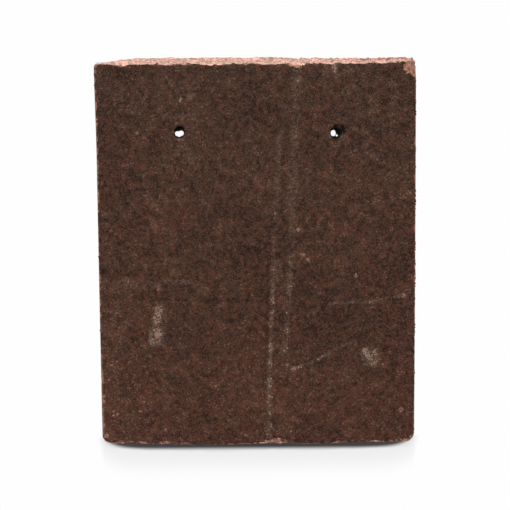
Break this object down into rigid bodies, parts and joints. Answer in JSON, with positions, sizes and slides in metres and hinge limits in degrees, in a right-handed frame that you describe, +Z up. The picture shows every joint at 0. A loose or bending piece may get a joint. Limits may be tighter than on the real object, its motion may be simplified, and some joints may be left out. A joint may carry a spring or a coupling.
{
  "type": "eaves tile",
  "caption": "Short cambered plain roof tile for the undercourse at the eaves, with nail holes through its head and hooking nibs on its back.",
  "frame": {"origin": "centre of the bounding box's bottom, on the floor that the tile lies on, face up", "axes": "+X across the tile's width, +Y from the tail to the head, +Z up, out of the face"},
  "size_m": [0.165, 0.2056, 0.0242],
  "materials": {
    "concrete": "matt, sanded"
  },
  "bodies": {
    "root": {"eaves_tile": "concrete"}
  },
  "joints": []
}
